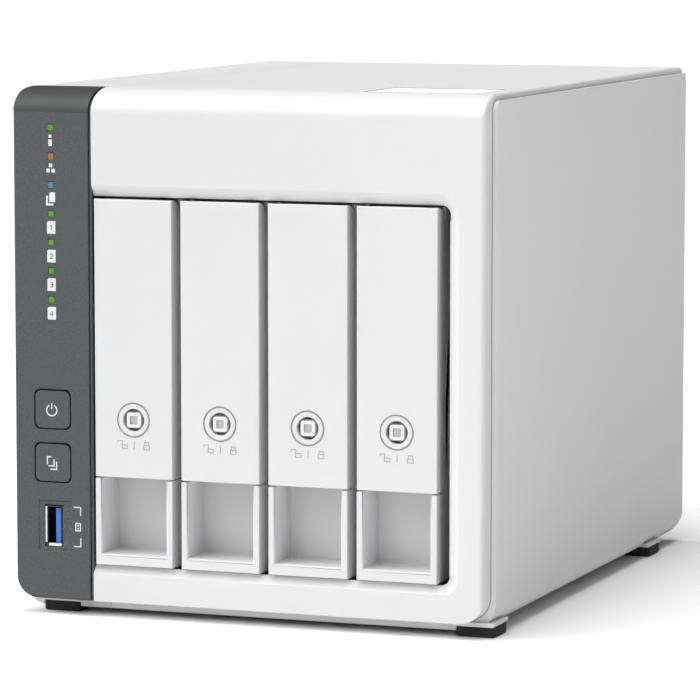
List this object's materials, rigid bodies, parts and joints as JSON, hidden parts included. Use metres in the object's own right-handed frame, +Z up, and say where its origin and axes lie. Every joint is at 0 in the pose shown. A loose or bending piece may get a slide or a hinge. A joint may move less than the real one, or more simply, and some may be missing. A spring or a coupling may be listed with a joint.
{
  "type": "network attached storage",
  "caption": "Desktop storage server: white box with slide-out drive trays with hinged locking handles, a dark control strip with buttons and lights, rear fan and ports.",
  "frame": {"origin": "on the floor under the middle of the body, at the bottom of the rubber feet", "axes": "+Z up, the front faces -Y, +X to the right seen from the front"},
  "size_m": [0.16, 0.219, 0.169],
  "materials": {
    "white_abs": "fine matte texture",
    "dark_abs": "fine metallic speckle",
    "steel_sheet": "galvanised sheet",
    "label_paper": "satin film",
    "rubber": "matte",
    "natural_nylon": "satin",
    "circuit_board": "solder mask",
    "black_plastic": "satin",
    "grey_plastic": "satin",
    "blue_plastic": "satin",
    "light_pipe": "frosted clear",
    "aluminium": "anodised",
    "cast_aluminium": "cast and painted",
    "nickel": "nickel plated",
    "brass": "machined"
  },
  "bodies": {
    "chassis": {"main_cover": "white_abs", "left_cover": "white_abs", "right_cover": "white_abs", "control_strip": "dark_abs", "rear_panel": "steel_sheet", "top_label": "label_paper", "rubber_feet": "rubber", "drive_cage": "steel_sheet", "bay_rails": "natural_nylon", "backplane_board": "circuit_board", "sata_connectors": "black_plastic", "main_board": "circuit_board", "board_chips": "black_plastic", "heatsink": "aluminium", "clock_battery": "nickel", "board_standoffs": "brass", "board_screws": "nickel", "front_board": "circuit_board", "light_pipes": "light_pipe", "button_switches": "black_plastic", "front_usb_shell": "nickel", "front_usb_tongue": "blue_plastic", "rear_usb_shells": "nickel", "rear_usb_tongues": "black_plastic", "network_jacks": "nickel", "power_inlet": "black_plastic", "inlet_pin": "nickel", "fan_frame": "black_plastic", "fan_screws": "nickel", "fan_cable": "black_plastic", "rear_screws": "nickel"},
    "fan": {"fan_rotor": "black_plastic"},
    "power_button": {"power_button": "dark_abs"},
    "copy_button": {"copy_button": "dark_abs"},
    "reset_button": {"reset_button": "black_plastic"},
    "tray_1": {"tray_frame_1": "white_abs", "drive_clips_1": "grey_plastic", "handle_pin_1": "nickel", "drive_1": "cast_aluminium"},
    "handle_1": {"tray_handle_1": "white_abs"},
    "lock_1": {"tray_lock_1": "grey_plastic"},
    "tray_2": {"tray_frame_2": "white_abs", "drive_clips_2": "grey_plastic", "handle_pin_2": "nickel", "drive_2": "cast_aluminium"},
    "handle_2": {"tray_handle_2": "white_abs"},
    "lock_2": {"tray_lock_2": "grey_plastic"},
    "tray_3": {"tray_frame_3": "white_abs", "drive_clips_3": "grey_plastic", "handle_pin_3": "nickel", "drive_3": "cast_aluminium"},
    "handle_3": {"tray_handle_3": "white_abs"},
    "lock_3": {"tray_lock_3": "grey_plastic"},
    "tray_4": {"tray_frame_4": "white_abs", "drive_clips_4": "grey_plastic", "handle_pin_4": "nickel", "drive_4": "cast_aluminium"},
    "handle_4": {"tray_handle_4": "white_abs"},
    "lock_4": {"tray_lock_4": "grey_plastic"}
  },
  "joints": [
    {"name": "power_press", "type": "slide", "parent": "chassis", "child": "power_button", "axis": [0, 1, 0], "range_m": [0, 0.0008], "stiffness_N_per_m": 800, "springref_m": -0.0004},
    {"name": "copy_press", "type": "slide", "parent": "chassis", "child": "copy_button", "axis": [0, 1, 0], "range_m": [0, 0.0008], "stiffness_N_per_m": 800, "springref_m": -0.0004},
    {"name": "reset_press", "type": "slide", "parent": "chassis", "child": "reset_button", "axis": [0, -1, 0], "range_m": [0, 0.0005], "stiffness_N_per_m": 400, "springref_m": -0.0003},
    {"name": "fan_spin", "type": "hinge", "parent": "chassis", "child": "fan", "pos_m": [0.0056, 0.0936, 0.0756], "axis": [0, 1, 0], "continuous": true},
    {"name": "tray_1_slide", "type": "slide", "parent": "chassis", "child": "tray_1", "axis": [0, -1, 0], "range_m": [0, 0.17]},
    {"name": "handle_1_swing", "type": "hinge", "parent": "tray_1", "child": "handle_1", "pos_m": [-0.03895, -0.1071, 0.1308], "axis": [-1, 0, 0], "range_deg": [0, 40]},
    {"name": "lock_1_turn", "type": "hinge", "parent": "handle_1", "child": "lock_1", "pos_m": [-0.03895, -0.1055, 0.064], "axis": [0, 1, 0], "range_deg": [0, 90]},
    {"name": "tray_2_slide", "type": "slide", "parent": "chassis", "child": "tray_2", "axis": [0, -1, 0], "range_m": [0, 0.17]},
    {"name": "handle_2_swing", "type": "hinge", "parent": "tray_2", "child": "handle_2", "pos_m": [-0.00935, -0.1071, 0.1308], "axis": [-1, 0, 0], "range_deg": [0, 40]},
    {"name": "lock_2_turn", "type": "hinge", "parent": "handle_2", "child": "lock_2", "pos_m": [-0.00935, -0.1055, 0.064], "axis": [0, 1, 0], "range_deg": [0, 90]},
    {"name": "tray_3_slide", "type": "slide", "parent": "chassis", "child": "tray_3", "axis": [0, -1, 0], "range_m": [0, 0.17]},
    {"name": "handle_3_swing", "type": "hinge", "parent": "tray_3", "child": "handle_3", "pos_m": [0.02025, -0.1071, 0.1308], "axis": [-1, 0, 0], "range_deg": [0, 40]},
    {"name": "lock_3_turn", "type": "hinge", "parent": "handle_3", "child": "lock_3", "pos_m": [0.02025, -0.1055, 0.064], "axis": [0, 1, 0], "range_deg": [0, 90]},
    {"name": "tray_4_slide", "type": "slide", "parent": "chassis", "child": "tray_4", "axis": [0, -1, 0], "range_m": [0, 0.17]},
    {"name": "handle_4_swing", "type": "hinge", "parent": "tray_4", "child": "handle_4", "pos_m": [0.04985, -0.1071, 0.1308], "axis": [-1, 0, 0], "range_deg": [0, 40]},
    {"name": "lock_4_turn", "type": "hinge", "parent": "handle_4", "child": "lock_4", "pos_m": [0.04985, -0.1055, 0.064], "axis": [0, 1, 0], "range_deg": [0, 90]}
  ]
}
